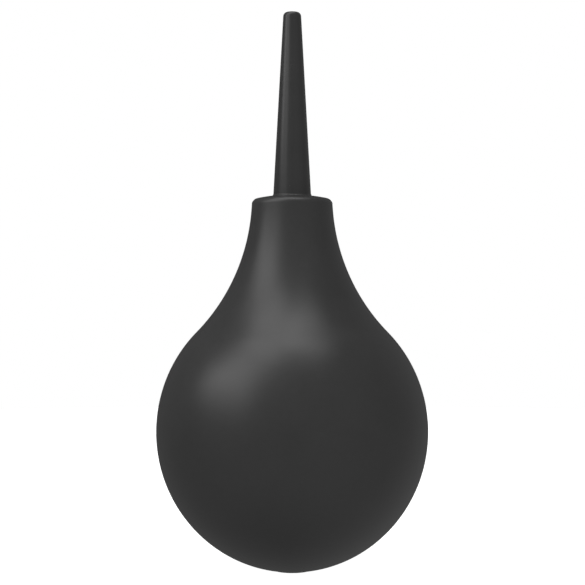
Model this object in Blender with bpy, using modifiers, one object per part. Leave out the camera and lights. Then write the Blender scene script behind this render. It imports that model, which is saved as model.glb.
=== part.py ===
"""Dust blower bulb for watch work: a hollow rubber bulb, a push-in nozzle and a one-way inlet valve.

Everything is turned about +Z. The origin is the centre of the foot, the small flat under the inlet
valve on which the blower stands, and the nozzle points up. Lengths are in metres.
"""

import math

import bmesh
import bpy
import numpy as np

# Bulb: a ball that runs up into a hollow-sided neck
BALL_RADIUS = 0.0300
STRETCH = 1.028  # height over width of the ball and of the neck's hollow side
NECK_RADIUS = 0.00884
NECK_HEIGHT = 0.0830  # from the foot to the neck's end
NECK_CROWN = 0.0380  # radius of the neck's slightly domed end
NECK_EDGE = 0.0014  # rounding of that end's rim
WALL = 0.0030
LAND_LENGTH = 0.0140  # solid part of the neck, which grips the nozzle's stem
BOSS_WALL = 0.0043  # rubber round the inlet valve's barrel
BOSS_HEIGHT = 0.0094  # from the foot to the top of that rubber
INNER_FILLET = 0.0010

# Nozzle, with a barbed stem that the neck grips
NOZZLE_REACH = 0.0404  # from the neck's end to the tip
NOZZLE_BASE_RADIUS = 0.00416
NOZZLE_TIP_RADIUS = 0.00193
NOZZLE_TIP_ROUND = 0.0009
OUTLET_RADIUS = 0.0009
COLLAR_DEPTH = 0.0015  # plain round part inside the neck's end
COLLAR_STEP = 0.0004  # the shank is slimmer than the collar by this much
STEM_WALL = 0.0014
STEM_BARB = 0.0006
STEM_PITCH = 0.0036
STEM_BARBS = 4  # the lowest one hooks under the land

# Inlet valve, with a barbed barrel that the boss grips
FOOT_RADIUS = 0.0040
FOOT_PROUD = 0.00014  # the foot stands out of the ball's curve by this much at its rim
FLANGE_LIP = 0.0018  # the flange reaches out past the barrel by this much
FLANGE_TOP = 0.0020
INLET_RADIUS = 0.0012
SEAT_LEVEL = 0.0024  # where the 45 degree seat starts
CHECK_BALL_RADIUS = 0.0020
CHECK_BALL_LIFT = 0.0012
CHECK_BALL_ROOM = 0.0007  # air passage all round the ball
CAGE_SHOULDER = 0.0008
CAGE_HEIGHT = 0.0015
CAGE_RING_WALL = 0.0007
CAGE_BAR = 0.0008  # width and depth of the cage's crossed bars
BARREL_WALL = 0.0007
BARREL_BARB = 0.0005
BARREL_PITCH = 0.0026
BARREL_BARBS = 3  # the highest one hooks over the boss
WIRE_RADIUS = 0.00015
COIL_TURNS = 5
CLOSED_PITCH = 0.00036  # rise of the closed turn at each end of the spring

# Fits
GRIP_GAP = 0.0003  # rubber to the plug that it grips
REST_GAP = 0.0002  # between the valve's own pieces
BARB_SLOPE = 0.6  # share of the pitch that a barb's slope takes
PLAIN_END = 0.0003  # plain length past a plug's last barb

# Facets
BULB_STEPS = 44
SMALL_STEPS = 24
ROUND_STEPS = 3  # facets across a small rounding
WIRE_STEPS = 16  # points in a turn of the spring
ARC_STEP = math.radians(7)
SHARP_ANGLE = math.radians(35)

# Both curves of the bulb's side are circles before the stretch, and meet where they are tangent.
# Their centres are the ball's own and one outside the neck, level with the neck's end.
BALL_CENTRE = STRETCH * math.sqrt(BALL_RADIUS**2 - FOOT_RADIUS**2) + FOOT_PROUD
NECK_RISE = (NECK_HEIGHT - BALL_CENTRE) / STRETCH
HOLLOW_RADIUS = (NECK_RADIUS**2 + NECK_RISE**2 - BALL_RADIUS**2) / (2 * (BALL_RADIUS - NECK_RADIUS))
HOLLOW_CENTRE = NECK_RADIUS + HOLLOW_RADIUS
TANGENT_ANGLE = math.atan2(NECK_RISE, HOLLOW_CENTRE)

LAND_BOTTOM = NECK_HEIGHT - LAND_LENGTH
NOZZLE_TOP = NECK_HEIGHT + NOZZLE_REACH
COLLAR_BOTTOM = NECK_HEIGHT - COLLAR_DEPTH
STEM_RADIUS = NOZZLE_BASE_RADIUS - COLLAR_STEP
STEM_SLOPE = BARB_SLOPE * STEM_PITCH
STEM_LEDGES = [LAND_BOTTOM - GRIP_GAP + i * STEM_PITCH for i in range(STEM_BARBS)]
STEM_BOTTOM = STEM_LEDGES[0] - STEM_SLOPE - PLAIN_END

CHAMBER_RADIUS = CHECK_BALL_RADIUS + CHECK_BALL_ROOM
CAGE_SEAT_RADIUS = CHAMBER_RADIUS + CAGE_SHOULDER
BARREL_RADIUS = CAGE_SEAT_RADIUS + BARREL_WALL
FLANGE_RADIUS = BARREL_RADIUS + FLANGE_LIP
BOSS_RADIUS = BARREL_RADIUS + BOSS_WALL
BARREL_SLOPE = BARB_SLOPE * BARREL_PITCH
BARREL_LEDGES = [BOSS_HEIGHT + GRIP_GAP - i * BARREL_PITCH for i in range(BARREL_BARBS)]
BARREL_TOP = BARREL_LEDGES[0] + BARREL_SLOPE + PLAIN_END
CAGE_BOTTOM = BARREL_TOP - CAGE_HEIGHT
CAGE_MIDDLE = CAGE_BOTTOM + CAGE_HEIGHT / 2
CAGE_RADIUS = CAGE_SEAT_RADIUS - REST_GAP

CHECK_BALL_LEVEL = SEAT_LEVEL - INLET_RADIUS + math.sqrt(2) * (CHECK_BALL_RADIUS + REST_GAP)
COIL_RADIUS = CHECK_BALL_RADIUS / math.sqrt(2)
COIL_REACH = CHECK_BALL_RADIUS + REST_GAP + WIRE_RADIUS  # from the ball's centre to the lowest turn
COIL_BOTTOM = CHECK_BALL_LEVEL + math.sqrt(COIL_REACH**2 - COIL_RADIUS**2)
COIL_TOP = CAGE_BOTTOM - REST_GAP - WIRE_RADIUS
STOP_RADIUS = COIL_RADIUS - WIRE_RADIUS - GRIP_GAP
STOP_BOTTOM = CHECK_BALL_LEVEL + CHECK_BALL_RADIUS + CHECK_BALL_LIFT + REST_GAP


def material(name, shade, roughness, metallic=0.0):
    """A Principled material in one grey."""
    made = bpy.data.materials.new(name)
    made.use_nodes = True
    shader = made.node_tree.nodes["Principled BSDF"]
    shader.inputs["Base Color"].default_value = (shade, shade, shade, 1)
    shader.inputs["Roughness"].default_value = roughness
    shader.inputs["Metallic"].default_value = metallic
    made.diffuse_color = (shade, shade, shade, 1)
    return made


def arc(centre, radius, start, end):
    """Points of a circle in the plane of radius and height, with both ends."""
    steps = max(2, round(abs(end - start) / ARC_STEP))
    return [
        (centre[0] + radius * math.cos(angle), centre[1] + radius * math.sin(angle))
        for angle in np.linspace(start, end, steps + 1)
    ]


def rounded(before, corner, after, radius):
    """Points that round off the corner of a path that runs from before to after."""
    to_before = math.atan2(before[1] - corner[1], before[0] - corner[0])
    to_after = math.atan2(after[1] - corner[1], after[0] - corner[0])
    opening = (to_after - to_before + math.pi) % math.tau - math.pi
    middle = to_before + opening / 2
    reach = radius / math.sin(abs(opening) / 2)
    centre = (corner[0] + reach * math.cos(middle), corner[1] + reach * math.sin(middle))
    half_turn = math.copysign(math.pi / 2 - abs(opening) / 2, opening)
    start = middle + math.pi + half_turn
    return [
        (centre[0] + radius * math.cos(angle), centre[1] + radius * math.sin(angle))
        for angle in np.linspace(start, start - 2 * half_turn, ROUND_STEPS + 1)
    ]


def stretched(points):
    """Points about the ball's centre, stretched upward and put at their level above the foot."""
    return [(radius, BALL_CENTRE + STRETCH * height) for radius, height in points]


def angle_under(radius, ball):
    """The angle below a ball's middle at which its surface has come in to a radius."""
    return -math.acos(radius / ball)


def bulb_side(top, end_radius, inset=0.0):
    """The bulb's side from a level in the neck to a radius under the ball, moved inward by inset."""
    radius = HOLLOW_RADIUS + inset
    start = math.pi + math.asin((NECK_HEIGHT - top) / STRETCH / radius)
    hollow = arc((HOLLOW_CENTRE, NECK_RISE), radius, start, math.pi + TANGENT_ANGLE)
    ball = BALL_RADIUS - inset
    upper = arc((0, 0), ball, TANGENT_ANGLE, 0)
    lower = arc((0, 0), ball, 0, angle_under(end_radius, ball))
    return stretched(hollow[:-1] + upper[:-1] + lower)


def neck_end(bore):
    """The neck's domed end, from its bore out and round the rim to the neck's side."""
    dome = (0, NECK_HEIGHT - NECK_CROWN)
    rim_radius = NECK_RADIUS - NECK_EDGE
    lean = math.acos(rim_radius / (NECK_CROWN - NECK_EDGE))
    rim = (rim_radius, dome[1] + (NECK_CROWN - NECK_EDGE) * math.sin(lean))
    crown = arc(dome, NECK_CROWN, math.acos(bore / NECK_CROWN), lean)
    return crown[:-1] + arc(rim, NECK_EDGE, lean, 0)


def barbs(radius, barb, ledges, slope, gap=0.0):
    """A barbed plug's side, or with a gap its hole's: at each level a ledge and then a slope."""
    points = []
    for ledge in ledges:
        face = ledge - math.copysign(gap, slope)
        points.append((radius + gap, face))
        points.append((radius + gap + barb, face))
        points.append((radius + gap, ledge + slope))
    return points


def added(collection, name, data):
    """A new object in a collection."""
    obj = bpy.data.objects.new(name, data)
    collection.objects.link(obj)
    return obj


def turned(collection, name, outline, steps):
    """An object made by turning a closed outline about the Z axis."""
    mesh = bpy.data.meshes.new(name)
    count = len(outline)
    edges = [(i, (i + 1) % count) for i in range(count)]
    mesh.from_pydata([(radius, 0, height) for radius, height in outline], edges, [])
    obj = added(collection, name, mesh)
    screw = obj.modifiers.new("turn", "SCREW")
    screw.steps = steps
    screw.render_steps = steps
    screw.use_merge_vertices = True
    screw.merge_threshold = 1e-6
    return obj


def settled(obj, finish):
    """The object with its modifiers applied, shaded smooth between its edges, in its material."""
    evaluated = obj.evaluated_get(bpy.context.evaluated_depsgraph_get())
    obj.data = bpy.data.meshes.new_from_object(evaluated)
    obj.modifiers.clear()
    obj.data.shade_smooth()
    obj.data.set_sharp_from_angle(angle=SHARP_ANGLE)
    obj.data.materials.clear()
    obj.data.materials.append(finish)
    return obj


def as_mesh(shape, name):
    """A mesh made from a bmesh, which is used up."""
    mesh = bpy.data.meshes.new(name)
    shape.to_mesh(mesh)
    shape.free()
    return mesh


def make_bulb(parts, finish):
    """The rubber bulb: its skin, the bore that holds the valve, the air chamber and the stem's bore."""
    collar_bore = NOZZLE_BASE_RADIUS + GRIP_GAP
    rim = neck_end(collar_bore)
    outside = rim + bulb_side(rim[-1][1], FLANGE_RADIUS + GRIP_GAP)[1:]

    seat_level = FLANGE_TOP + GRIP_GAP
    barrel_bore = barbs(BARREL_RADIUS, BARREL_BARB, BARREL_LEDGES[:0:-1], BARREL_SLOPE, GRIP_GAP)
    below = [(FLANGE_RADIUS + GRIP_GAP, seat_level), (BARREL_RADIUS + GRIP_GAP, seat_level)]
    boss_top = [(BARREL_RADIUS + GRIP_GAP, BOSS_HEIGHT), (BOSS_RADIUS, BOSS_HEIGHT)]
    land_radius = bulb_side(LAND_BOTTOM, BOSS_RADIUS, WALL)[0][0]
    land = [(land_radius, LAND_BOTTOM), (STEM_RADIUS + GRIP_GAP, LAND_BOTTOM)]
    chamber = bulb_side(LAND_BOTTOM - INNER_FILLET, BOSS_RADIUS + INNER_FILLET, WALL)[::-1]
    floor_corner = (BOSS_RADIUS, chamber[0][1])
    boss = boss_top[:1] + rounded(*boss_top, floor_corner, INNER_FILLET)
    boss += rounded(boss_top[1], floor_corner, chamber[0], INNER_FILLET)[:-1]
    roof = rounded(chamber[-1], *land, INNER_FILLET)[1:] + land[1:]

    stem_bore = barbs(STEM_RADIUS, STEM_BARB, STEM_LEDGES[:0:-1], -STEM_SLOPE, GRIP_GAP)[::-1]
    step = COLLAR_BOTTOM - GRIP_GAP
    mouth = [(STEM_RADIUS + GRIP_GAP, step), (collar_bore, step)]
    outline = outside + below + barrel_bore + boss + chamber + roof + stem_bore + mouth
    return settled(turned(parts, "bulb", outline, BULB_STEPS), finish)


def make_nozzle(parts, finish):
    """The nozzle: a taper with a rounded tip, a collar and a barbed stem, drilled right through."""
    bore = (OUTLET_RADIUS, NOZZLE_TOP)
    round_limit = 0.9 * (NOZZLE_TIP_RADIUS - OUTLET_RADIUS)
    base = (NOZZLE_BASE_RADIUS, NECK_HEIGHT)
    tip = rounded(bore, (NOZZLE_TIP_RADIUS, NOZZLE_TOP), base, min(NOZZLE_TIP_ROUND, round_limit))
    collar = [base, (NOZZLE_BASE_RADIUS, COLLAR_BOTTOM), (STEM_RADIUS, COLLAR_BOTTOM)]
    stem = barbs(STEM_RADIUS, STEM_BARB, STEM_LEDGES[::-1], -STEM_SLOPE)
    end = [(STEM_RADIUS, STEM_BOTTOM), (STEM_RADIUS - STEM_WALL, STEM_BOTTOM)]
    return settled(turned(parts, "nozzle", [bore] + tip + collar + stem + end, SMALL_STEPS), finish)


def make_valve_body(parts, finish):
    """The inlet valve's body: a barbed barrel over a flange that carries the ball's curve on to the foot."""
    cage_seat = CAGE_BOTTOM - REST_GAP
    barrel_end = [(CAGE_SEAT_RADIUS, BARREL_TOP), (BARREL_RADIUS, BARREL_TOP)]
    barrel = barbs(BARREL_RADIUS, BARREL_BARB, BARREL_LEDGES[::-1], BARREL_SLOPE)[::-1]
    flange = [(BARREL_RADIUS, FLANGE_TOP), (FLANGE_RADIUS, FLANGE_TOP)]
    rim_angle = angle_under(FLANGE_RADIUS, BALL_RADIUS)
    under = stretched(arc((0, 0), BALL_RADIUS, rim_angle, angle_under(FOOT_RADIUS, BALL_RADIUS)))
    foot = [(FOOT_RADIUS, 0), (INLET_RADIUS, 0), (INLET_RADIUS, SEAT_LEVEL)]
    seat_top = SEAT_LEVEL + CHAMBER_RADIUS - INLET_RADIUS
    chamber = [(CHAMBER_RADIUS, seat_top), (CHAMBER_RADIUS, cage_seat), (CAGE_SEAT_RADIUS, cage_seat)]
    outline = barrel_end + barrel + flange + under + foot + chamber
    return settled(turned(parts, "valve_body", outline, SMALL_STEPS), finish)


def make_valve_ball(parts, finish):
    """The check ball, seated."""
    shape = bmesh.new()
    rings = SMALL_STEPS // 2
    bmesh.ops.create_uvsphere(shape, u_segments=SMALL_STEPS, v_segments=rings, radius=CHECK_BALL_RADIUS)
    valve_ball = added(parts, "valve_ball", as_mesh(shape, "valve_ball"))
    valve_ball.location = (0, 0, CHECK_BALL_LEVEL)
    valve_ball.data.shade_smooth()
    valve_ball.data.materials.append(finish)
    return valve_ball


def make_valve_spring(parts, finish):
    """The spring between ball and cage, with a closed turn at each end."""
    turns = [0, 1, COIL_TURNS - 1, COIL_TURNS]
    levels = [COIL_BOTTOM, COIL_BOTTOM + CLOSED_PITCH, COIL_TOP - CLOSED_PITCH, COIL_TOP]
    curve = bpy.data.curves.new("valve_spring", "CURVE")
    curve.dimensions = "3D"
    curve.bevel_depth = WIRE_RADIUS
    curve.bevel_resolution = 2
    curve.use_fill_caps = True
    wire = curve.splines.new("POLY")
    wire.points.add(COIL_TURNS * WIRE_STEPS)
    for i, point in enumerate(wire.points):
        angle = math.tau * i / WIRE_STEPS
        level = float(np.interp(i / WIRE_STEPS, turns, levels))
        point.co = (COIL_RADIUS * math.cos(angle), COIL_RADIUS * math.sin(angle), level, 1)
    curve.materials.append(finish)
    return added(parts, "valve_spring", curve)


def join(obj, tool):
    """Fuses a tool shape into the object."""
    tool.hide_render = True
    tool.display_type = "WIRE"
    union = obj.modifiers.new(tool.name, "BOOLEAN")
    union.operation = "UNION"
    union.solver = "EXACT"
    union.object = tool


def cage_bar(cutters, name, length, depth):
    """One of the cage's crossed bars, along X for its length and along Y for its depth."""
    shape = bmesh.new()
    bmesh.ops.create_cube(shape, size=1)
    bmesh.ops.scale(shape, vec=(length, depth, CAGE_BAR), verts=shape.verts)
    bmesh.ops.translate(shape, vec=(0, 0, CAGE_MIDDLE), verts=shape.verts)
    return added(cutters, name, as_mesh(shape, name))


def cage_stop(cutters):
    """The round stop under the crossed bars."""
    height = CAGE_MIDDLE - STOP_BOTTOM
    shape = bmesh.new()
    bmesh.ops.create_cone(
        shape,
        cap_ends=True,
        segments=SMALL_STEPS // 2,
        radius1=STOP_RADIUS,
        radius2=STOP_RADIUS,
        depth=height,
    )
    bmesh.ops.translate(shape, vec=(0, 0, CAGE_MIDDLE - height / 2), verts=shape.verts)
    return added(cutters, "cage_stop", as_mesh(shape, "cage_stop"))


def make_valve_cage(parts, cutters, finish):
    """The cage over the spring: a ring, two crossed bars and the stop that limits the ball's lift."""
    inner = CAGE_RADIUS - CAGE_RING_WALL
    top = [(inner, BARREL_TOP), (CAGE_RADIUS, BARREL_TOP)]
    bottom = [(CAGE_RADIUS, CAGE_BOTTOM), (inner, CAGE_BOTTOM)]
    length = 2 * CAGE_RADIUS - CAGE_RING_WALL
    valve_cage = turned(parts, "valve_cage", top + bottom, SMALL_STEPS)
    join(valve_cage, cage_bar(cutters, "cage_bar_x", length, CAGE_BAR))
    join(valve_cage, cage_bar(cutters, "cage_bar_y", CAGE_BAR, length))
    join(valve_cage, cage_stop(cutters))
    return settled(valve_cage, finish)


def main():
    """Builds the blower in its own collection."""
    for obj in list(bpy.data.objects):
        bpy.data.objects.remove(obj, do_unlink=True)
    parts = bpy.data.collections.new("dust_blower_bulb")
    cutters = bpy.data.collections.new("cutters")
    bpy.context.scene.collection.children.link(parts)
    bpy.context.scene.collection.children.link(cutters)

    bulb = make_bulb(parts, material("bulb rubber", 0.035, 0.62))
    nozzle = make_nozzle(parts, material("nozzle plastic", 0.036, 0.5))
    valve_body = make_valve_body(parts, material("valve nylon", 0.03, 0.5))
    valve_ball = make_valve_ball(parts, material("ball steel", 0.55, 0.15, 1.0))
    valve_spring = make_valve_spring(parts, material("spring steel", 0.5, 0.3, 1.0))
    valve_cage = make_valve_cage(parts, cutters, material("cage nylon", 0.04, 0.5))

    nozzle.parent = bulb
    valve_body.parent = bulb
    for piece in (valve_ball, valve_spring, valve_cage):
        piece.parent = valve_body


main()
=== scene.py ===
"""Looks of a dust blower bulb: a moulded rubber bulb, a push-in nozzle and a one-way inlet valve.

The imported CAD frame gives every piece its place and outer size. Each piece here is a finer copy of one
CAD node, turned on the same upright axis, with the roundings, mould lines and finishes of the real one.
Lengths are in metres, apart from names that end in _mm.
"""

import logging
import math
from collections.abc import Iterable
from dataclasses import dataclass, field
from enum import Enum

import bmesh
import bpy
from mathutils import Matrix, Vector


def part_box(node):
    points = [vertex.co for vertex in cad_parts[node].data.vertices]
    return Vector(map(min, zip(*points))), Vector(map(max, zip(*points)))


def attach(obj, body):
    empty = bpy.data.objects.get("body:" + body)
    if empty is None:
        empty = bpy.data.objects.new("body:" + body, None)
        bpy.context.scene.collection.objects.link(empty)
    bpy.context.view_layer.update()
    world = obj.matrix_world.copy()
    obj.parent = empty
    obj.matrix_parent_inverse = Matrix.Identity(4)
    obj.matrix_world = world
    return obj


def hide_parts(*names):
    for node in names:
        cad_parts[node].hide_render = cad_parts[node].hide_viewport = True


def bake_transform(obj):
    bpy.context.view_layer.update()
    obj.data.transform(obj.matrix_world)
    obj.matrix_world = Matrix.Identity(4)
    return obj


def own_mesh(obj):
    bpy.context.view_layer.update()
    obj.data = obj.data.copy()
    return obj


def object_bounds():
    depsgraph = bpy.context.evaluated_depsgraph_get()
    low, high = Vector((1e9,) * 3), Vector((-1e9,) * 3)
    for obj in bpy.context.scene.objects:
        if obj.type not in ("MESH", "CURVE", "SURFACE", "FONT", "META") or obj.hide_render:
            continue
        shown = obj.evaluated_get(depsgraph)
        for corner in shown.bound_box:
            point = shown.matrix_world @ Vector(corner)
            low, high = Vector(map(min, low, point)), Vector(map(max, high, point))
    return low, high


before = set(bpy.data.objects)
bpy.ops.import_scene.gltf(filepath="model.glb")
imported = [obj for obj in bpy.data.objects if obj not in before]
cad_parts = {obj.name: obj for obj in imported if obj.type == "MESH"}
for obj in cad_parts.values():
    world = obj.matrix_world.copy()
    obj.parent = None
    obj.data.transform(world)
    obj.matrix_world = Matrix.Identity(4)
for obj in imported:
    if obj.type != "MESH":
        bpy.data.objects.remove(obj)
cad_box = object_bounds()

LOG = logging.getLogger("dust_blower_bulb")
MM = 0.001
FULL_TURN = math.tau
QUARTER_TURN = FULL_TURN / 4
SHARP_ANGLE = math.radians(32)  # edges that turn more than this stay sharp
MERGE_DISTANCE = 1e-6
FLASH_CREST = 1 / 3  # share of a mould line's width that stands at its full height
FLASH_FACING = 0.05  # a mould line stops where the surface leans outwards less than this

Point = tuple[float, float]  # a radius and a height
Span = tuple[float, float]  # a first and a last value
Box = tuple[Vector, Vector]  # lowest and highest corner


class Body(Enum):
    """Rigid bodies of the frame that the pieces ride on."""

    BULB = "bulb_body"
    VALVE = "inlet_valve"
    BALL = "ball"
    NOZZLE = "nozzle"


class Slot(Enum):
    """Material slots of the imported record."""

    RUBBER = "bulb_rubber"
    NOZZLE = "nozzle_plastic"
    NYLON = "valve_plastic"
    STEEL = "valve_steel"


# ---------------------------------------------------------------------------------------------------
# Finishes


def linear(hex_code: str) -> tuple[float, float, float, float]:
    """Turns an sRGB hex colour to linear red, green, blue and alpha.

    Args:
        hex_code: Six hex digits, such as "2f2f30".

    Returns:
        The linear colour, opaque.
    """
    parts = [int(hex_code[i : i + 2], 16) / 255 for i in (0, 2, 4)]
    # The two branches of the sRGB curve.
    red, green, blue = (c / 12.92 if c <= 0.04045 else ((c + 0.055) / 1.055) ** 2.4 for c in parts)
    return red, green, blue, 1.0


def add_node(
    tree: bpy.types.NodeTree,
    kind: str,
    settings: dict[str, object] | None = None,
    inputs: dict[str | int, object] | None = None,
) -> bpy.types.Node:
    """Adds a node with its settings and links.

    Args:
        tree: Node tree that takes the node.
        kind: Blender's class of the node.
        settings: Values of the node's properties, by name.
        inputs: By name or number of an input, either a value or the output socket to link to it.

    Returns:
        The new node.
    """
    node = tree.nodes.new(kind)
    for name, value in (settings or {}).items():
        setattr(node, name, value)
    for name, value in (inputs or {}).items():
        if isinstance(value, bpy.types.NodeSocket):
            tree.links.new(value, node.inputs[name])
        else:
            node.inputs[name].default_value = value
    return node


def new_material(name: str) -> tuple[bpy.types.Material, bpy.types.NodeTree, bpy.types.NodeSocket]:
    """Starts a node material.

    Args:
        name: The material's name.

    Returns:
        The material, its emptied node tree, and the object coordinates' output.
    """
    material = bpy.data.materials.new(name)
    material.use_nodes = True
    tree = material.node_tree
    tree.nodes.clear()
    place = add_node(tree, "ShaderNodeTexCoord").outputs["Object"]
    return material, tree, place


@dataclass(frozen=True)
class MouldedFinish:
    """Black rubber or plastic as it leaves a steel mould.

    The mould's fine blasted texture breaks up the gloss, and handling polishes it a little in patches.
    """

    name: str
    colour: str
    bloom: str  # paler tone where the surface has dried or been rubbed
    roughness: float
    handled_roughness: float
    ior: float
    grain_mm: float
    grain_depth_mm: float
    patch_mm: float = 14.0
    patch_noise: tuple[float, float] = (3.0, 0.55)  # detail and roughness
    speckle_mm: float = 1.1
    speckle_noise: tuple[float, float] = (4.0, 0.6)
    speckle_share: float = 0.3
    tone_span: Span = (0.3, 0.7)  # stretch of the mixed noise that goes from colour to bloom
    grain_smoothness: float = 0.6

    def build(self) -> bpy.types.Material:
        """Makes the material.

        Returns:
            The material.
        """
        material, tree, place = new_material(self.name)
        patches, speckle = (
            add_node(
                tree,
                "ShaderNodeTexNoise",
                inputs={"Vector": place, "Scale": 1 / (size * MM), "Detail": detail, "Roughness": rough},
            ).outputs["Fac"]
            for size, (detail, rough) in (
                (self.patch_mm, self.patch_noise),
                (self.speckle_mm, self.speckle_noise),
            )
        )
        mixed = add_node(
            tree,
            "ShaderNodeMix",
            {"data_type": "FLOAT"},
            {"Factor": self.speckle_share, "A": patches, "B": speckle},
        ).outputs[0]
        tone = add_node(
            tree,
            "ShaderNodeMapRange",
            inputs={"Value": mixed, "From Min": self.tone_span[0], "From Max": self.tone_span[1]},
        ).outputs[0]
        colour = add_node(
            tree,
            "ShaderNodeMix",
            {"data_type": "RGBA"},
            {"Factor": tone, "A": linear(self.colour), "B": linear(self.bloom)},
        ).outputs[2]
        roughness = add_node(
            tree,
            "ShaderNodeMapRange",
            inputs={"Value": tone, "To Min": self.handled_roughness, "To Max": self.roughness},
        ).outputs[0]
        grain = add_node(
            tree,
            "ShaderNodeTexVoronoi",
            {"feature": "SMOOTH_F1"},
            {"Vector": place, "Scale": 1 / (self.grain_mm * MM), "Smoothness": self.grain_smoothness},
        )
        bump = add_node(
            tree,
            "ShaderNodeBump",
            inputs={
                "Height": grain.outputs["Distance"],
                "Strength": 1.0,
                "Distance": self.grain_depth_mm * MM,
            },
        )
        shader = add_node(
            tree,
            "ShaderNodeBsdfPrincipled",
            inputs={
                "Base Color": colour,
                "Roughness": roughness,
                "IOR": self.ior,
                "Normal": bump.outputs["Normal"],
            },
        )
        add_node(tree, "ShaderNodeOutputMaterial", inputs={"Surface": shader.outputs["BSDF"]})
        return material


@dataclass(frozen=True)
class SteelFinish:
    """Stainless steel, polished like a bearing ball or drawn like spring wire."""

    name: str
    colour: str
    roughness: float
    scratch_roughness: float
    scratch_mm: tuple[float, float, float]
    scratch_noise: tuple[float, float] = (5.0, 0.65)  # detail and roughness
    scratch_span: Span = (0.35, 0.75)  # stretch of the noise that goes from polish to scratch
    scratch_bump: float = 0.4
    scratch_depth_mm: float = 0.002

    def build(self) -> bpy.types.Material:
        """Makes the material.

        Returns:
            The material.
        """
        material, tree, place = new_material(self.name)
        scale = tuple(1 / (size * MM) for size in self.scratch_mm)
        detail, rough = self.scratch_noise
        stretched = add_node(
            tree, "ShaderNodeMapping", {"vector_type": "POINT"}, {"Vector": place, "Scale": scale}
        )
        scratches = add_node(
            tree,
            "ShaderNodeTexNoise",
            inputs={
                "Vector": stretched.outputs["Vector"],
                "Scale": 1.0,
                "Detail": detail,
                "Roughness": rough,
            },
        )
        roughness = add_node(
            tree,
            "ShaderNodeMapRange",
            inputs={
                "Value": scratches.outputs["Fac"],
                "From Min": self.scratch_span[0],
                "From Max": self.scratch_span[1],
                "To Min": self.roughness,
                "To Max": self.scratch_roughness,
            },
        ).outputs[0]
        bump = add_node(
            tree,
            "ShaderNodeBump",
            inputs={
                "Height": scratches.outputs["Fac"],
                "Strength": self.scratch_bump,
                "Distance": self.scratch_depth_mm * MM,
            },
        )
        shader = add_node(
            tree,
            "ShaderNodeBsdfPrincipled",
            inputs={
                "Base Color": linear(self.colour),
                "Metallic": 1.0,
                "Roughness": roughness,
                "Normal": bump.outputs["Normal"],
            },
        )
        add_node(tree, "ShaderNodeOutputMaterial", inputs={"Surface": shader.outputs["BSDF"]})
        return material


# Matte black rubber, compression moulded: a soft, broad sheen and almost no grain at arm's length.
BULB_RUBBER = MouldedFinish(
    name="black rubber compression moulded",
    colour="3e3e3e",
    bloom="444444",
    roughness=0.37,
    handled_roughness=0.31,
    ior=1.52,
    grain_mm=0.28,
    grain_depth_mm=0.006,
)
# Black polypropylene, injection moulded: slightly tighter highlights than the rubber.
NOZZLE_PLASTIC = MouldedFinish(
    name="black polypropylene injection moulded",
    colour="3e3e3e",
    bloom="434343",
    roughness=0.28,
    handled_roughness=0.23,
    ior=1.49,
    grain_mm=0.2,
    grain_depth_mm=0.004,
    patch_mm=7.0,
    speckle_mm=0.8,
)
# Black nylon, injection moulded: the driest surface of the three.
VALVE_NYLON = MouldedFinish(
    name="black nylon injection moulded",
    colour="262626",
    bloom="2e2e2e",
    roughness=0.55,
    handled_roughness=0.45,
    ior=1.53,
    grain_mm=0.16,
    grain_depth_mm=0.004,
    patch_mm=4.0,
    speckle_mm=0.6,
)
# Stainless bearing ball, ground and polished: a mirror with a few hairline marks.
BALL_STEEL = SteelFinish(
    name="stainless steel ground and polished",
    colour="c9c8c4",
    roughness=0.06,
    scratch_roughness=0.16,
    scratch_mm=(0.5, 0.05, 0.5),
)
# Stainless spring wire, cold drawn: satin, with marks that run along the coil.
SPRING_STEEL = SteelFinish(
    name="stainless steel cold drawn",
    colour="b9b8b4",
    roughness=0.22,
    scratch_roughness=0.38,
    scratch_mm=(0.3, 0.3, 0.03),
)


# ---------------------------------------------------------------------------------------------------
# Turned shapes


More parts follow.
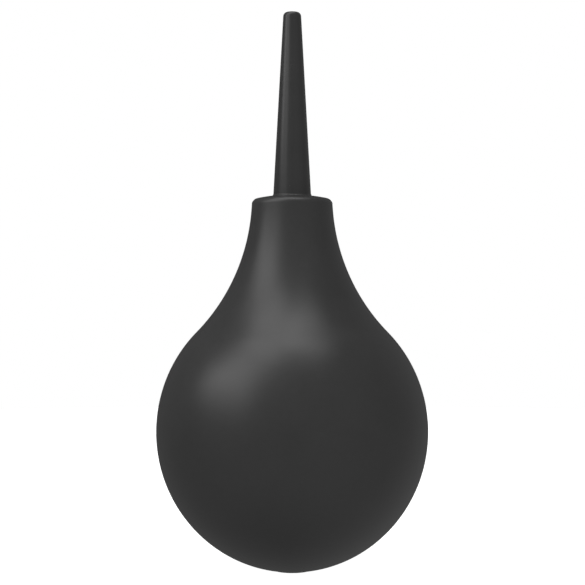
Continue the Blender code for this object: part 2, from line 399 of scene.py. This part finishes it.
class Turning:
    """An outline drawn in the plane of X and Z, which is then spun about Z into a closed body."""

    def __init__(self, start: Point) -> None:
        """Starts the outline.

        Args:
            start: The outline's first point.
        """
        self.mesh = bmesh.new()
        self.start = self.mesh.verts.new((start[0], 0, start[1]))
        self.tip = self.start
        self.corners: list[tuple[bmesh.types.BMVert, float, int]] = []

    def line(self, *points: Point) -> "Turning":
        """Draws straight on through one or more points.

        Args:
            points: The points, in order.

        Returns:
            The outline itself.
        """
        for radius, height in points:
            self.tip = bmesh.ops.extrude_vert_indiv(self.mesh, verts=[self.tip])["verts"][0]
            self.tip.co = (radius, 0, height)
        return self

    def rounded(self, point: Point, radius: float, segments: int = 5) -> "Turning":
        """Draws straight on to a corner, which spin() rounds off.

        Args:
            point: The corner.
            radius: How far from the corner the rounding starts.
            segments: Facets of the rounding.

        Returns:
            The outline itself.
        """
        self.line(point)
        self.corners.append((self.tip, radius, segments))
        return self

    def arc(
        self, centre: Point, radius: float, span: Span, step: float, stretch: float = 1.0
    ) -> "Turning":
        """Draws straight on to the start of an arc and then along it.

        Args:
            centre: The arc's centre.
            radius: The arc's own radius.
            span: Its first and last angle, from the outward direction and rising.
            step: The angle of one facet.
            stretch: How much the arc is drawn out upward about its centre.

        Returns:
            The outline itself.
        """
        first, last = span
        self.line((centre[0] + radius * math.cos(first), centre[1] + radius * math.sin(first)))
        drawn = len(self.mesh.verts) - 1
        middle = Vector((centre[0], 0, centre[1]))
        swept = bmesh.ops.spin(
            self.mesh,
            geom=[self.tip],
            cent=middle,
            axis=(0, -1, 0),
            angle=last - first,
            steps=max(2, round(abs(last - first) / step)),
        )
        self.tip = swept["geom_last"][0]
        bmesh.ops.scale(
            self.mesh,
            vec=(1, 1, stretch),
            space=Matrix.Translation(-middle),
            verts=list(self.mesh.verts)[drawn:],
        )
        return self

    def barbs(
        self, radius: float, barb: float, ledges: Iterable[float], before: float, after: float
    ) -> "Turning":
        """Draws a barbed stretch, up or down.

        Args:
            radius: Radius between the barbs.
            barb: How far a barb stands out.
            ledges: Levels of the barbs' tips, in the order in which the outline meets them.
            before: Height of a barb's foot over its tip, on the side that the outline meets first.
            after: The same on its other side. One of the two is zero, which is the barb's ledge.

        Returns:
            The outline itself.
        """
        rounding = barb / 6
        for ledge in ledges:
            self.line((radius, ledge + before))
            self.rounded((radius + barb, ledge), rounding)
            self.line((radius, ledge + after))
        return self

    def spin(self, steps: int) -> bmesh.types.BMesh:
        """Closes the outline, rounds its corners and spins it.

        Args:
            steps: Facets round the axis.

        Returns:
            The closed body, with its faces outwards.
        """
        self.mesh.edges.new((self.tip, self.start))
        for corner, radius, segments in self.corners:
            bmesh.ops.bevel(
                self.mesh,
                geom=[corner],
                offset=radius,
                offset_type="OFFSET",
                affect="VERTICES",
                segments=segments,
                profile=0.5,
                material=-1,
            )
        bmesh.ops.spin(
            self.mesh,
            geom=self.mesh.verts[:] + self.mesh.edges[:],
            cent=(0, 0, 0),
            axis=(0, 0, 1),
            angle=FULL_TURN,
            steps=steps,
            use_merge=True,
        )
        return close_up(self.mesh)


def close_up(shape: bmesh.types.BMesh) -> bmesh.types.BMesh:
    """Merges a body's doubles and turns its faces outwards.

    Args:
        shape: The body.

    Returns:
        The same body.
    """
    bmesh.ops.remove_doubles(shape, verts=shape.verts, dist=MERGE_DISTANCE)
    bmesh.ops.recalc_face_normals(shape, faces=shape.faces)
    return shape


def mould_line(shape: bmesh.types.BMesh, width: float, height: float, inside: float) -> None:
    """Raises the fine flash line that the two halves of a mould leave, in the plane of X and Z.

    Args:
        shape: The turned body.
        width: The line's width.
        height: How far it stands out.
        inside: Only surface that faces out and lies beyond this radius carries the line.
    """
    side, crest = width / 2, width / 2 * FLASH_CREST
    for offset in (-side, -crest, 0.0, crest, side):
        bmesh.ops.bisect_plane(
            shape,
            geom=shape.verts[:] + shape.edges[:] + shape.faces[:],
            dist=MERGE_DISTANCE / 10,
            plane_co=(0, offset, 0),
            plane_no=(0, 1, 0),
        )
    shape.normal_update()
    ridge = [v for v in shape.verts if abs(v.co.y) < crest + MERGE_DISTANCE and abs(v.co.x) > inside]
    for vertex in ridge:
        if vertex.normal.x * vertex.co.x > 0 and abs(vertex.normal.x) > FLASH_FACING:
            vertex.co += vertex.normal * height


def as_piece(
    name: str, shape: bmesh.types.BMesh, finish: MouldedFinish | SteelFinish
) -> bpy.types.Object:
    """Makes an object of a finished shape, shaded smooth between its edges.

    Args:
        name: The piece's name.
        shape: Its bmesh, which is used up.
        finish: What it is made of.

    Returns:
        The new object, at the origin.
    """
    mesh = bpy.data.meshes.new(name)
    shape.to_mesh(mesh)
    shape.free()
    mesh.materials.append(finish.build())
    mesh.shade_smooth()
    mesh.set_sharp_from_angle(angle=SHARP_ANGLE)
    piece = bpy.data.objects.new(name, mesh)
    bpy.context.scene.collection.objects.link(piece)
    return piece


def fuse(piece: bpy.types.Object, shapes: list[bmesh.types.BMesh]) -> None:
    """Joins more closed shapes to a piece as one solid.

    Args:
        piece: The piece, which keeps its name and finish.
        shapes: The shapes, which are used up.
    """
    tools = []
    for shape in shapes:
        mesh = bpy.data.meshes.new("joined_shape")
        shape.to_mesh(mesh)
        shape.free()
        tool = bpy.data.objects.new("joined_shape", mesh)
        bpy.context.scene.collection.objects.link(tool)
        union = piece.modifiers.new("join", "BOOLEAN")
        union.operation = "UNION"
        union.solver = "EXACT"
        union.object = tool
        tools.append(tool)
    finished = bpy.data.meshes.new_from_object(piece.evaluated_get(bpy.context.evaluated_depsgraph_get()))
    piece.modifiers.clear()
    piece.data = finished
    finished.shade_smooth()
    finished.set_sharp_from_angle(angle=SHARP_ANGLE)
    for tool in tools:
        bpy.data.objects.remove(tool, do_unlink=True)


def place(piece: bpy.types.Object, body: Body, node: str, slot: Slot) -> None:
    """Lets a piece ride on its body and stand for a CAD node."""
    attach(piece, body.value)
    hand_over(piece, node)


def hand_over(piece: bpy.types.Object, node: str) -> None:
    """Lets a piece stand for a CAD node, and reports it.

    Args:
        piece: The piece.
        node: The CAD node, which it hides.
    """
    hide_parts(node)
    LOG.info("%s stands for %s: %d faces", piece.name, node, len(piece.data.polygons))


# ---------------------------------------------------------------------------------------------------
# Sub-assemblies


@dataclass
class Fit:
    """Sizes that the bulb shares with the two plugs that it grips, as the frame has them."""

    grip_gap: float = 0.00002
    stem_radius: float = 0.00376
    stem_barb: float = 0.0006
    stem_pitch: float = 0.0036
    stem_barbs: int = 4
    barrel_radius: float = 0.0042
    barrel_barb: float = 0.0005
    barrel_pitch: float = 0.0026
    barrel_barbs: int = 3
    barb_slope: float = 0.6  # share of the pitch
    hook_gap: float = 0.0003  # between the last barb's ledge and the rubber that it hooks on
    plain_end: float = 0.0003  # plain length past a plug's last barb
    nozzle_base: float = 0.00416  # the nozzle's radius where it leaves the neck
    collar_depth: float = 0.0015  # how deep that radius goes into the neck
    flange_top: float = 0.0020  # level of the top of the valve's flange
    stem_bottom: float = field(init=False)
    barrel_top: float = field(init=False)

    def __post_init__(self) -> None:
        """Reads the two plugs' hidden ends from the frame."""
        self.stem_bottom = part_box("nozzle")[0].z
        self.barrel_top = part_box("valve_body")[1].z

    @property
    def stem_slope(self) -> float:
        """Height of a slope on the stem."""
        return self.barb_slope * self.stem_pitch

    @property
    def barrel_slope(self) -> float:
        """Height of a slope on the barrel."""
        return self.barb_slope * self.barrel_pitch

    @property
    def stem_ledges(self) -> list[float]:
        """Levels of the stem's ledges, from the lowest."""
        lowest = self.stem_bottom + self.plain_end + self.stem_slope
        return [lowest + i * self.stem_pitch for i in range(self.stem_barbs)]

    @property
    def barrel_ledges(self) -> list[float]:
        """Levels of the barrel's ledges, from the lowest."""
        highest = self.barrel_top - self.plain_end - self.barrel_slope
        return [highest - i * self.barrel_pitch for i in reversed(range(self.barrel_barbs))]

    @property
    def land_bottom(self) -> float:
        """Level of the underside of the rubber that grips the stem."""
        return self.stem_ledges[0] + self.hook_gap

    @property
    def boss_top(self) -> float:
        """Level of the top of the rubber that grips the barrel."""
        return self.barrel_ledges[-1] - self.hook_gap


@dataclass
class BulbCurve:
    """The bulb's outer side: a ball and the neck's hollow side, both circles drawn out upward."""

    stretch: float = 1.028
    neck_radius: float = 0.00884
    neck_height: float = 0.0830
    foot_radius: float = 0.0040
    foot_proud: float = 0.00014  # the foot stands out of the ball's curve by this much at its rim
    ball_radius: float = field(init=False)

    def __post_init__(self) -> None:
        """Reads the ball's radius from the frame."""
        self.ball_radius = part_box("bulb")[1].x

    @property
    def centre(self) -> float:
        """Level of the ball's centre."""
        return self.stretch * math.sqrt(self.ball_radius**2 - self.foot_radius**2) + self.foot_proud

    @property
    def hollow(self) -> tuple[float, float, float]:
        """The neck's hollow side as a circle.

        Returns:
            The circle's radius, how far out its centre is, and the angle at which the ball meets it.
        """
        rise = (self.neck_height - self.centre) / self.stretch
        reach = self.ball_radius - self.neck_radius
        radius = (self.neck_radius**2 + rise**2 - self.ball_radius**2) / (2 * reach)
        return radius, self.neck_radius + radius, math.atan2(rise, self.neck_radius + radius)

    def hollow_angle(self, level: float, inset: float = 0.0) -> float:
        """How far below the neck's end a level lies on the hollow's circle, as an angle."""
        return math.asin((self.neck_height - level) / self.stretch / (self.hollow[0] + inset))

    def neck_at(self, level: float, inset: float = 0.0) -> float:
        """Radius of the neck's side at a level."""
        return self.hollow[1] - (self.hollow[0] + inset) * math.cos(self.hollow_angle(level, inset))

    def under_at(self, radius: float, inset: float = 0.0) -> float:
        """Level of the ball's underside at a radius."""
        return self.centre - self.stretch * math.sqrt((self.ball_radius - inset) ** 2 - radius**2)

    def under_angle(self, radius: float, inset: float = 0.0) -> float:
        """The angle at which the ball's underside has come in to a radius."""
        return -math.acos(radius / (self.ball_radius - inset))

    def draw(self, outline: Turning, top: float, bottom_radius: float, inset: float, step: float) -> None:
        """Draws the side, downward on the outside and upward on the inside.

        Args:
            outline: The outline to draw on.
            top: Level of the side's upper end, in the neck.
            bottom_radius: Radius of its lower end, under the ball.
            inset: How far inside the outer surface it runs. The outside has none.
            step: The angle of one facet.
        """
        radius, reach, meeting = self.hollow
        hollow = (math.pi + self.hollow_angle(top, inset), math.pi + meeting)
        ball = (meeting, self.under_angle(bottom_radius, inset))
        arcs = [
            ((reach, self.neck_height), radius + inset, hollow),
            ((0.0, self.centre), self.ball_radius - inset, ball),
        ]
        if inset:
            arcs = [(middle, size, span[::-1]) for middle, size, span in reversed(arcs)]
        for middle, size, span in arcs:
            outline.arc(middle, size, span, step, self.stretch)


@dataclass
class RubberBulb:
    """The hollow bulb, one moulding with the neck that grips the nozzle and the boss that grips the valve."""

    curve: BulbCurve
    fit: Fit
    wall: float = 0.0030
    crown: float = 0.0380  # radius of the neck's slightly domed end
    neck_edge: float = 0.0014
    lip_fillet: float = 0.00035  # where the rubber creeps up the nozzle
    lip_edge: float = 0.00005
    hole_edge: float = 0.0003
    boss_wall: float = 0.0043
    fillet: float = 0.0010
    small_fillet: float = 0.0002
    flash_width: float = 0.0005
    flash_height: float = 0.00005
    flash_start: float = 1.05  # how far out from the barrel it starts, in widths of the boss's wall
    lip_step: float = math.radians(9)
    dome_step: float = math.radians(0.7)
    rim_step: float = math.radians(5)
    outer_step: float = math.radians(1.5)
    inner_step: float = math.radians(3)
    steps: int = 160
    hole: float = field(init=False)

    def __post_init__(self) -> None:
        """Fits the hole in the base to the valve's flange."""
        self.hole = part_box("valve_body")[1].x + self.fit.grip_gap

    @property
    def lip_radius(self) -> float:
        """Radius at which the lip round the nozzle runs out on the neck's domed end."""
        return self.fit.nozzle_base + self.fit.grip_gap + self.lip_edge + self.lip_fillet

    @property
    def lip_top(self) -> float:
        """Level of the top of the lip round the nozzle."""
        dome = self.curve.neck_height - self.crown
        return dome + math.sqrt(self.crown**2 - self.lip_radius**2) + self.lip_fillet

    def draw_neck_end(self, outline: Turning) -> float:
        """Draws the lip, the domed end and its rim.

        Args:
            outline: The outline, which has begun at the lip's top.

        Returns:
            The level at which the rim runs into the neck's side.
        """
        curve, edge = self.curve, self.neck_edge
        dome = (0.0, curve.neck_height - self.crown)
        reach = self.crown - edge
        level = dome[1] + math.sqrt(reach**2 - (curve.neck_radius - edge) ** 2)
        lean_in = curve.hollow_angle(level)
        rim_radius = curve.neck_at(level) - edge * math.cos(lean_in)
        rim = (rim_radius, dome[1] + math.sqrt(reach**2 - rim_radius**2))
        lean_out = math.acos(rim_radius / reach)
        lip = (self.lip_radius, self.lip_top)
        outline.arc(lip, self.lip_fillet, (2 * QUARTER_TURN, 3 * QUARTER_TURN), self.lip_step)
        outline.arc(dome, self.crown, (math.acos(self.lip_radius / self.crown), lean_out), self.dome_step)
        outline.arc(rim, edge, (lean_out, lean_in), self.rim_step)
        return rim[1] + edge * math.sin(lean_in)

    def shape(self) -> bmesh.types.BMesh:
        """Turns the bulb's closed wall, inside and out.

        Returns:
            The wall.
        """
        fit, curve = self.fit, self.curve
        collar = fit.nozzle_base + fit.grip_gap
        barrel = fit.barrel_radius + fit.grip_gap
        stem = fit.stem_radius + fit.grip_gap
        boss = fit.barrel_radius + self.boss_wall
        outline = Turning((collar, self.lip_top))
        outline.line((collar + self.lip_edge, self.lip_top))
        rim_level = self.draw_neck_end(outline)
        curve.draw(outline, rim_level, self.hole + 2 * self.hole_edge, 0.0, self.outer_step)

        seat = fit.flange_top + fit.grip_gap
        outline.rounded((self.hole, curve.under_at(self.hole)), self.hole_edge)
        outline.line((self.hole, seat), (barrel, seat))
        ledges = [ledge - fit.grip_gap for ledge in fit.barrel_ledges[:-1]]
        outline.barbs(barrel, fit.barrel_barb, ledges, 0, fit.barrel_slope)
        outline.rounded((barrel, fit.boss_top), self.small_fillet)
        outline.rounded((boss, fit.boss_top), self.fillet)

        start = boss + 2 * self.fillet
        outline.rounded((boss, curve.under_at(start, self.wall)), self.fillet)
        roof = fit.land_bottom - 2 * self.fillet
        curve.draw(outline, roof, start, self.wall, self.inner_step)
        outline.rounded((curve.neck_at(fit.land_bottom, self.wall), fit.land_bottom), self.fillet)
        outline.rounded((stem, fit.land_bottom), self.small_fillet)
        ledges = [ledge + fit.grip_gap for ledge in fit.stem_ledges[1:]]
        outline.barbs(stem, fit.stem_barb, ledges, -fit.stem_slope, 0)
        step = curve.neck_height - fit.collar_depth - fit.grip_gap
        outline.line((stem, step), (collar, step))
        return outline.spin(self.steps)

    def build(self) -> bpy.types.Object:
        """Makes the bulb.

        Returns:
            The piece.
        """
        shape = self.shape()
        inside = self.fit.barrel_radius + self.flash_start * self.boss_wall
        mould_line(shape, self.flash_width, self.flash_height, inside)
        piece = as_piece("bulb_wall", shape, BULB_RUBBER)
        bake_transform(piece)
        hand_over(piece, "bulb")
        return piece


@dataclass
class Nozzle:
    """The tapered nozzle, one moulding with the barbed stem inside the neck."""

    curve: BulbCurve
    fit: Fit
    tip_radius: float = 0.00193
    tip_round: float = 0.0009
    tip_segments: int = 10
    outlet_radius: float = 0.0009
    outlet_edge: float = 0.00012
    outlet_depth: float = 0.0040  # straight part of the bore behind the outlet
    stem_wall: float = 0.0014
    flash_width: float = 0.0003
    flash_height: float = 0.00001  # low enough to clear the rubber that grips the stem
    flash_start: float = 1.5  # how far out it starts, in radii of the outlet
    steps: int = 112
    top: float = field(init=False)

    def __post_init__(self) -> None:
        """Reads the tip's level from the frame."""
        self.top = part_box("nozzle")[1].z

    def shape(self) -> bmesh.types.BMesh:
        """Turns the nozzle from its outlet down its side and up its bore.

        Returns:
            The nozzle with its stem.
        """
        fit, neck = self.fit, self.curve.neck_height
        outline = Turning((self.outlet_radius, self.top - self.outlet_depth))
        outline.rounded((self.outlet_radius, self.top), self.outlet_edge)
        outline.rounded((self.tip_radius, self.top), self.tip_round, self.tip_segments)
        outline.line((fit.nozzle_base, neck), (fit.nozzle_base, neck - fit.collar_depth))
        outline.line((fit.stem_radius, neck - fit.collar_depth))
        outline.barbs(fit.stem_radius, fit.stem_barb, fit.stem_ledges[::-1], 0, -fit.stem_slope)
        outline.rounded((fit.stem_radius, fit.stem_bottom), self.outlet_edge)
        outline.rounded((fit.stem_radius - self.stem_wall, fit.stem_bottom), self.outlet_edge)
        return outline.spin(self.steps)

    def build(self) -> bpy.types.Object:
        """Makes the nozzle.

        Returns:
            The piece.
        """
        shape = self.shape()
        mould_line(shape, self.flash_width, self.flash_height, self.flash_start * self.outlet_radius)
        piece = as_piece("nozzle_taper", shape, NOZZLE_PLASTIC)
        place(piece, Body.NOZZLE, "nozzle", Slot.NOZZLE)
        return piece


@dataclass
class InletValve:
    """The one-way valve in the base: barbed body, check ball, spring and cage."""

    curve: BulbCurve
    fit: Fit
    edge: float = 0.0002
    foot_edge: float = 0.00006
    underside_step: float = math.radians(0.5)
    inlet_radius: float = 0.0012
    chamber_radius: float = 0.0027
    wire_radius: float = 0.00015
    closed_pitch: float = 0.00036
    turns: int = 5
    cage_height: float = 0.0015
    cage_wall: float = 0.0007
    cage_bar: float = 0.0008
    stop_radius: float = 0.00096
    bar_edge: float = 0.00008
    bar_segments: int = 4
    ring_edge: float = 0.00012
    stop_edge: float = 0.00016
    steps: int = 96
    wire_sides: int = 12
    turn_steps: int = 48
    ball_rings: int = 40
    body_box: Box = field(init=False)
    ball_box: Box = field(init=False)
    spring_box: Box = field(init=False)
    cage_box: Box = field(init=False)

    def __post_init__(self) -> None:
        """Reads the boxes of the valve's pieces from the frame."""
        self.body_box, self.ball_box, self.spring_box, self.cage_box = (
            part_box(node) for node in ("valve_body", "valve_ball", "valve_spring", "valve_cage")
        )

    @property
    def ball_level(self) -> float:
        """Level of the ball's centre, where it closes the seat."""
        return (self.ball_box[0].z + self.ball_box[1].z) / 2

    @property
    def cage_middle(self) -> float:
        """Level half way up the cage's ring."""
        return self.cage_box[1].z - self.cage_height / 2

    def body_shape(self) -> bmesh.types.BMesh:
        """Turns the body from the top of its barrel down to the foot and up its chamber.

        Returns:
            The body.
        """
        fit, curve = self.fit, self.curve
        flange = self.body_box[1].x
        # The seat's cone leans 45 degrees, so its point would lie sqrt(2) ball radii below the ball's centre.
        below_ball = math.sqrt(2) * (self.ball_box[1].x + fit.grip_gap) - self.inlet_radius
        seat_level = self.ball_level - below_ball
        seat_top = seat_level + self.chamber_radius - self.inlet_radius
        cage_seat = self.cage_box[1].x + fit.grip_gap
        shoulder = self.cage_box[1].z - self.cage_height - fit.grip_gap

        outline = Turning((cage_seat, fit.barrel_top))
        outline.rounded((fit.barrel_radius, fit.barrel_top), self.edge)
        outline.barbs(fit.barrel_radius, fit.barrel_barb, fit.barrel_ledges[::-1], fit.barrel_slope, 0)
        outline.line((fit.barrel_radius, fit.flange_top))
        outline.rounded((flange, fit.flange_top), self.edge)
        outline.rounded((flange, curve.under_at(flange)), self.edge)
        span = (curve.under_angle(flange - 2 * self.edge), curve.under_angle(curve.foot_radius))
        outline.arc((0, curve.centre), curve.ball_radius, span, self.underside_step, curve.stretch)
        outline.rounded((curve.foot_radius, 0), self.foot_edge)
        outline.rounded((self.inlet_radius, 0), self.edge)
        outline.line((self.inlet_radius, seat_level), (self.chamber_radius, seat_top))
        outline.line((self.chamber_radius, shoulder), (cage_seat, shoulder))
        return outline.spin(self.steps)

    def ball_shape(self) -> bmesh.types.BMesh:
        """Makes the check ball, where it closes the seat.

        Returns:
            The ball.
        """
        shape = bmesh.new()
        bmesh.ops.create_uvsphere(
            shape,
            u_segments=2 * self.ball_rings,
            v_segments=self.ball_rings,
            radius=self.ball_box[1].x,
            matrix=Matrix.Translation((0, 0, self.ball_level)),
        )
        return shape

    def spring_shape(self) -> bmesh.types.BMesh:
        """Winds the spring, with a closed turn at each end and its wire cut off square.

        Returns:
            The spring.
        """
        low, high = self.spring_box
        coil_radius = high.x - self.wire_radius
        bottom, top = low.z + self.wire_radius, high.z - self.wire_radius
        open_turns = self.turns - 2
        open_rise = top - bottom - 2 * self.closed_pitch
        shape = bmesh.new()
        start = Matrix.Translation((coil_radius, 0, bottom)) @ Matrix.Rotation(QUARTER_TURN, 4, "X")
        bmesh.ops.create_circle(shape, segments=self.wire_sides, radius=self.wire_radius, matrix=start)
        end = shape.verts[:] + shape.edges[:]
        for turns, rise in ((1, self.closed_pitch), (open_turns, open_rise), (1, self.closed_pitch)):
            steps = turns * self.turn_steps
            wound = bmesh.ops.spin(
                shape,
                geom=end,
                cent=(0, 0, 0),
                axis=(0, 0, 1),
                dvec=(0, 0, rise / steps),
                angle=turns * FULL_TURN,
                steps=steps,
            )
            end = wound["geom_last"]
        bmesh.ops.holes_fill(shape, edges=[edge for edge in shape.edges if edge.is_boundary])
        return close_up(shape)

    def ring_shape(self) -> bmesh.types.BMesh:
        """Turns the cage's ring.

        Returns:
            The ring.
        """
        radius, top = self.cage_box[1].x, self.cage_box[1].z
        bottom, inner = top - self.cage_height, radius - self.cage_wall
        outline = Turning((inner, self.cage_middle))
        for corner in ((inner, top), (radius, top), (radius, bottom), (inner, bottom)):
            outline.rounded(corner, self.ring_edge)
        return outline.spin(self.steps)

    def bar_shape(self, along_x: bool) -> bmesh.types.BMesh:
        """Makes one of the cage's crossed bars, with its long edges rounded.

        Args:
            along_x: Whether it lies along X. The other one lies along Y.

        Returns:
            The bar, which ends half way into the ring.
        """
        length = 2 * self.cage_box[1].x - self.cage_wall
        size = (length, self.cage_bar, self.cage_bar) if along_x else (self.cage_bar, length, self.cage_bar)
        shape = bmesh.new()
        bmesh.ops.create_cube(shape, size=1)
        bmesh.ops.scale(shape, vec=size, verts=shape.verts)
        bmesh.ops.bevel(
            shape,
            geom=[edge for edge in shape.edges if edge.calc_length() > 2 * self.cage_bar],
            offset=self.bar_edge,
            offset_type="OFFSET",
            affect="EDGES",
            segments=self.bar_segments,
            profile=0.5,
            material=-1,
        )
        bmesh.ops.translate(shape, vec=(0, 0, self.cage_middle), verts=shape.verts)
        return shape

    def stop_shape(self) -> bmesh.types.BMesh:
        """Turns the round stop that limits the ball's lift, with its end rounded.

        Returns:
            The stop, which begins inside the bars.
        """
        outline = Turning((0, self.cage_middle))
        outline.line((self.stop_radius, self.cage_middle))
        outline.rounded((self.stop_radius, self.cage_box[0].z), self.stop_edge)
        outline.line((0, self.cage_box[0].z))
        return outline.spin(self.turn_steps)

    def build(self) -> list[bpy.types.Object]:
        """Makes the valve's four pieces.

        Returns:
            The body, the ball, the cage and the spring.
        """
        body = as_piece("inlet_valve_body", self.body_shape(), VALVE_NYLON)
        place(body, Body.VALVE, "valve_body", Slot.NYLON)
        ball = as_piece("inlet_check_ball", self.ball_shape(), BALL_STEEL)
        place(ball, Body.BALL, "valve_ball", Slot.STEEL)
        cage = as_piece("inlet_valve_cage", self.ring_shape(), VALVE_NYLON)
        fuse(cage, [self.bar_shape(True), self.bar_shape(False), self.stop_shape()])
        place(cage, Body.VALVE, "valve_cage", Slot.NYLON)

        spring = as_piece("inlet_valve_spring", self.spring_shape(), SPRING_STEEL)
        place(spring, Body.VALVE, "valve_spring", Slot.STEEL)
        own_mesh(spring)
        return [body, ball, cage, spring]


# ---------------------------------------------------------------------------------------------------
# Studio


@dataclass(frozen=True)
class SoftLight:
    """A square of soft studio light."""

    name: str
    place: tuple[float, float, float]
    aim: tuple[float, float, float]
    size: float
    power: float

    def build(self) -> bpy.types.Object:
        """Makes the light, turned towards what it is aimed at.

        Returns:
            The light.
        """
        data = bpy.data.lights.new(self.name, "AREA")
        data.shape = "SQUARE"
        data.size = self.size
        data.energy = self.power
        light = bpy.data.objects.new(self.name, data)
        light.location = self.place
        light.rotation_euler = (Vector(self.aim) - Vector(self.place)).to_track_quat("-Z", "Y").to_euler()
        bpy.context.scene.collection.objects.link(light)
        return light


@dataclass
class Studio:
    """A white floor under soft light, and a camera level with the middle of the blower."""

    tent_right_behind_above: tuple[float, float, float] = (0.24, 0.04, 0.0)  # brightness of each side
    tent_left_front_below: tuple[float, float, float] = (0.115, 0.29, 0.178)
    floor_radius: float = 0.5
    floor_sides: int = 128
    floor_roughness: float = 0.9
    floor_glow: float = 1.0
    floor_gap: float = 0.00005  # under the foot
    camera_distance: float = 0.35
    camera_place: tuple[float, float] = (0.00007, 0.06138)  # how far across and how high
    frame_width: float = 0.12941  # at the blower
    sensor_width_mm: float = 36.0
    lights: tuple[SoftLight, ...] = (
        SoftLight("near_key", (-0.20, -0.11, 0.26), (0, 0, 0.07), 0.30, 0.12),
        SoftLight("nozzle_key", (-0.20, -0.12, 0.20), (0, 0, 0.10), 0.20, 0.056),
        SoftLight("nozzle_side", (-0.22, -0.03, 0.17), (0, 0, 0.10), 0.08, 0.0195),
        SoftLight("left_key", (-0.66, -0.35, 0.72), (0, 0, 0.05), 0.50, 0.83),
        SoftLight("overhead_left", (-0.22, -0.13, 1.02), (0, 0, 0.05), 0.60, 1.69),
        SoftLight("overhead_right", (0.18, -0.18, 1.02), (0, 0, 0.05), 0.40, 0.67),
        SoftLight("overhead", (0.0, -0.09, 1.05), (0, 0, 0.05), 1.00, 1.17),
    )

    def build_floor(self) -> bpy.types.Object:
        """Makes the floor, which glows enough to go white and can be seen through from below.

        Returns:
            The floor.
        """
        material, tree, _ = new_material("white studio floor")
        shader = add_node(
            tree,
            "ShaderNodeBsdfPrincipled",
            inputs={
                "Base Color": linear("f2f2f2"),
                "Roughness": self.floor_roughness,
                "Emission Color": linear("ffffff"),
                "Emission Strength": self.floor_glow,
            },
        )
        clear = add_node(tree, "ShaderNodeBsdfTransparent")
        from_below = add_node(tree, "ShaderNodeNewGeometry").outputs["Backfacing"]
        sided = add_node(
            tree,
            "ShaderNodeMixShader",
            inputs={0: from_below, 1: shader.outputs["BSDF"], 2: clear.outputs["BSDF"]},
        )
        add_node(tree, "ShaderNodeOutputMaterial", inputs={"Surface": sided.outputs["Shader"]})
        shape = bmesh.new()
        level = Matrix.Translation((0, 0, cad_box[0].z - self.floor_gap))
        bmesh.ops.create_circle(
            shape, cap_ends=True, segments=self.floor_sides, radius=self.floor_radius, matrix=level
        )
        mesh = bpy.data.meshes.new("studio_floor")
        shape.to_mesh(mesh)
        shape.free()
        mesh.materials.append(material)
        floor = bpy.data.objects.new("studio_floor", mesh)
        floor.visible_diffuse = False
        floor.visible_glossy = False
        floor.visible_shadow = False
        bpy.context.scene.collection.objects.link(floor)
        return floor

    def build_world(self) -> bpy.types.World:
        """Makes the surroundings: white where the camera looks, a soft tent where they light the blower.

        Returns:
            The world.
        """
        world = bpy.data.worlds.new("studio")
        world.use_nodes = True
        tree = world.node_tree
        tree.nodes.clear()
        direction = add_node(tree, "ShaderNodeTexCoord").outputs["Generated"]
        opposite = add_node(
            tree, "ShaderNodeVectorMath", {"operation": "SCALE"}, {0: direction, "Scale": -1.0}
        ).outputs[0]
        levels = []
        sides = ((direction, self.tent_right_behind_above), (opposite, self.tent_left_front_below))
        for side, amounts in sides:
            facing = add_node(
                tree, "ShaderNodeVectorMath", {"operation": "MAXIMUM"}, {0: side, 1: (0, 0, 0)}
            ).outputs[0]
            levels.append(
                add_node(
                    tree, "ShaderNodeVectorMath", {"operation": "DOT_PRODUCT"}, {0: facing, 1: amounts}
                ).outputs["Value"]
            )
        tent = add_node(
            tree, "ShaderNodeMath", {"operation": "ADD"}, {0: levels[0], 1: levels[1]}
        ).outputs[0]
        seen = add_node(tree, "ShaderNodeLightPath").outputs["Is Camera Ray"]
        strength = add_node(
            tree, "ShaderNodeMix", {"data_type": "FLOAT"}, {"Factor": seen, "A": tent, "B": 1.0}
        ).outputs[0]
        background = add_node(
            tree, "ShaderNodeBackground", inputs={"Color": linear("ffffff"), "Strength": strength}
        )
        add_node(tree, "ShaderNodeOutputWorld", inputs={"Surface": background.outputs["Background"]})
        bpy.context.scene.world = world
        return world

    def build_camera(self) -> bpy.types.Object:
        """Makes the camera, which looks level along +Y.

        Returns:
            The camera.
        """
        data = bpy.data.cameras.new("portrait_lens")
        data.sensor_width = self.sensor_width_mm
        data.lens = self.sensor_width_mm * self.camera_distance / self.frame_width
        camera = bpy.data.objects.new("camera", data)
        across, height = self.camera_place
        camera.location = (across, -self.camera_distance, height)
        camera.rotation_euler = (QUARTER_TURN, 0, 0)
        bpy.context.scene.collection.objects.link(camera)
        bpy.context.scene.camera = camera
        return camera

    def build(self) -> None:
        """Sets up the floor, the surroundings, the lights and the camera."""
        bpy.context.scene.view_settings.view_transform = "Standard"
        self.build_floor()
        self.build_world()
        for light in self.lights:
            light.build()
        self.build_camera()


def main() -> None:
    """Builds the blower's pieces and the studio."""
    logging.basicConfig(level=logging.INFO, format="%(name)s: %(message)s")
    fit, curve = Fit(), BulbCurve()
    RubberBulb(curve, fit).build()
    Nozzle(curve, fit).build()
    InletValve(curve, fit).build()
    Studio().build()


if __name__ == "__main__":
    main()
